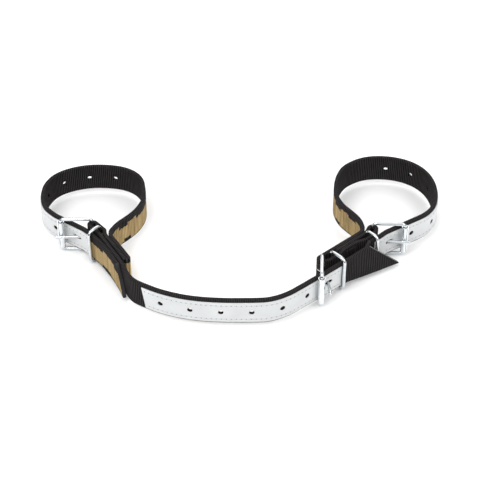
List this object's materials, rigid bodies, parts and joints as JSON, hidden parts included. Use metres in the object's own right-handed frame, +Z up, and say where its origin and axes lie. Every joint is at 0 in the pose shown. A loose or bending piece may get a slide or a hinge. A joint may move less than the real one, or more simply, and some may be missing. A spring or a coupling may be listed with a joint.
{
  "type": "livestock leg hobble",
  "caption": "Livestock leg hobble: buckled webbing leg cuffs joined by an adjustable buckled webbing strap, with roller buckles and wire keepers.",
  "frame": {"origin": "middle of the bounding box in plan, on the table under the buckle frames", "axes": "+X from the left cuff to the right cuff, +Y away from the connecting strap towards the backs of the cuffs, +Z up across the straps' width"},
  "size_m": [0.5506, 0.3084, 0.056],
  "materials": {
    "webbing": "heavy woven webbing, near black, ribbed, one face partly olive gold",
    "facing": "smooth white coated strip, slightly speckled",
    "thread": "bonded thread",
    "zinc_wire": "bright zinc plated wire",
    "zinc_sheet": "bright zinc plated rolled sheet"
  },
  "bodies": {
    "right_strap": {"right_webbing": "webbing", "right_cuff_facing": "facing", "tail_webbing": "webbing", "tail_facing": "facing", "right_bundle_stitching": "thread"},
    "middle_strap": {"connecting_webbing": "webbing", "connecting_facing": "facing"},
    "left_strap": {"left_webbing": "webbing", "left_cuff_facing": "facing", "left_bundle_stitching": "thread"},
    "left_frame": {"left_buckle_frame": "zinc_wire"},
    "left_roller": {"left_roller": "zinc_sheet"},
    "left_prong": {"left_prong": "zinc_wire"},
    "left_keeper": {"left_keeper": "zinc_wire"},
    "centre_frame": {"centre_buckle_frame": "zinc_wire"},
    "centre_roller": {"centre_roller": "zinc_sheet"},
    "centre_prong": {"centre_prong": "zinc_wire"},
    "centre_keeper": {"centre_keeper": "zinc_wire"},
    "right_frame": {"right_buckle_frame": "zinc_wire"},
    "right_roller": {"right_roller": "zinc_sheet"},
    "right_prong": {"right_prong": "zinc_wire"},
    "right_keeper": {"right_keeper": "zinc_wire"}
  },
  "joints": [
    {"name": "right_strap_flex", "type": "hinge", "parent": "right_strap", "child": "middle_strap", "pos_m": [0.07237, -0.13018, 0.0265], "axis": [0, 0, 1], "range_deg": [-20, 20], "stiffness_Nm_per_rad": 0.02},
    {"name": "left_strap_flex", "type": "hinge", "parent": "middle_strap", "child": "left_strap", "pos_m": [-0.13053, -0.11728, 0.0265], "axis": [0, 0, 1], "range_deg": [-20, 20], "stiffness_Nm_per_rad": 0.02},
    {"name": "left_frame_swing", "type": "hinge", "parent": "left_strap", "child": "left_frame", "pos_m": [-0.19773, 0.00082, 0.028], "axis": [0, 0, 1], "range_deg": [-1.5, 3]},
    {"name": "left_roller_spin", "type": "hinge", "parent": "left_frame", "child": "left_roller", "pos_m": [-0.24123, 0.00082, 0.028], "axis": [0, 0, 1], "continuous": true},
    {"name": "left_prong_swing", "type": "hinge", "parent": "left_frame", "child": "left_prong", "pos_m": [-0.19773, 0.00082, 0.028], "axis": [0, 0, 1], "range_deg": [0, 3]},
    {"name": "left_keeper_swing", "type": "hinge", "parent": "left_strap", "child": "left_keeper", "pos_m": [-0.18712, -0.01182, 0.0265], "axis": [0, 0, 1], "range_deg": [-4, 4]},
    {"name": "centre_frame_swing", "type": "hinge", "parent": "right_strap", "child": "centre_frame", "pos_m": [0.10877, -0.07068, 0.028], "axis": [0, 0, 1], "range_deg": [-0.5, 3]},
    {"name": "centre_roller_spin", "type": "hinge", "parent": "centre_frame", "child": "centre_roller", "pos_m": [0.10649, -0.11412, 0.028], "axis": [0, 0, 1], "continuous": true},
    {"name": "centre_prong_swing", "type": "hinge", "parent": "centre_frame", "child": "centre_prong", "pos_m": [0.10877, -0.07068, 0.028], "axis": [0, 0, 1], "range_deg": [-2, 3]},
    {"name": "centre_keeper_swing", "type": "hinge", "parent": "right_strap", "child": "centre_keeper", "pos_m": [0.12082, -0.06467, 0.0265], "axis": [0, 0, 1], "range_deg": [-2, 3]},
    {"name": "right_frame_swing", "type": "hinge", "parent": "right_strap", "child": "right_frame", "pos_m": [0.17927, -0.00818, 0.028], "axis": [0, 0, 1], "range_deg": [-3, 1.5]},
    {"name": "right_roller_spin", "type": "hinge", "parent": "right_frame", "child": "right_roller", "pos_m": [0.22274, -0.0097, 0.028], "axis": [0, 0, 1], "continuous": true},
    {"name": "right_prong_swing", "type": "hinge", "parent": "right_frame", "child": "right_prong", "pos_m": [0.17927, -0.00818, 0.028], "axis": [0, 0, 1], "range_deg": [-3, 0]},
    {"name": "right_keeper_swing", "type": "hinge", "parent": "right_strap", "child": "right_keeper", "pos_m": [0.17025, -0.02287, 0.0265], "axis": [0, 0, 1], "range_deg": [-3, 6]}
  ]
}
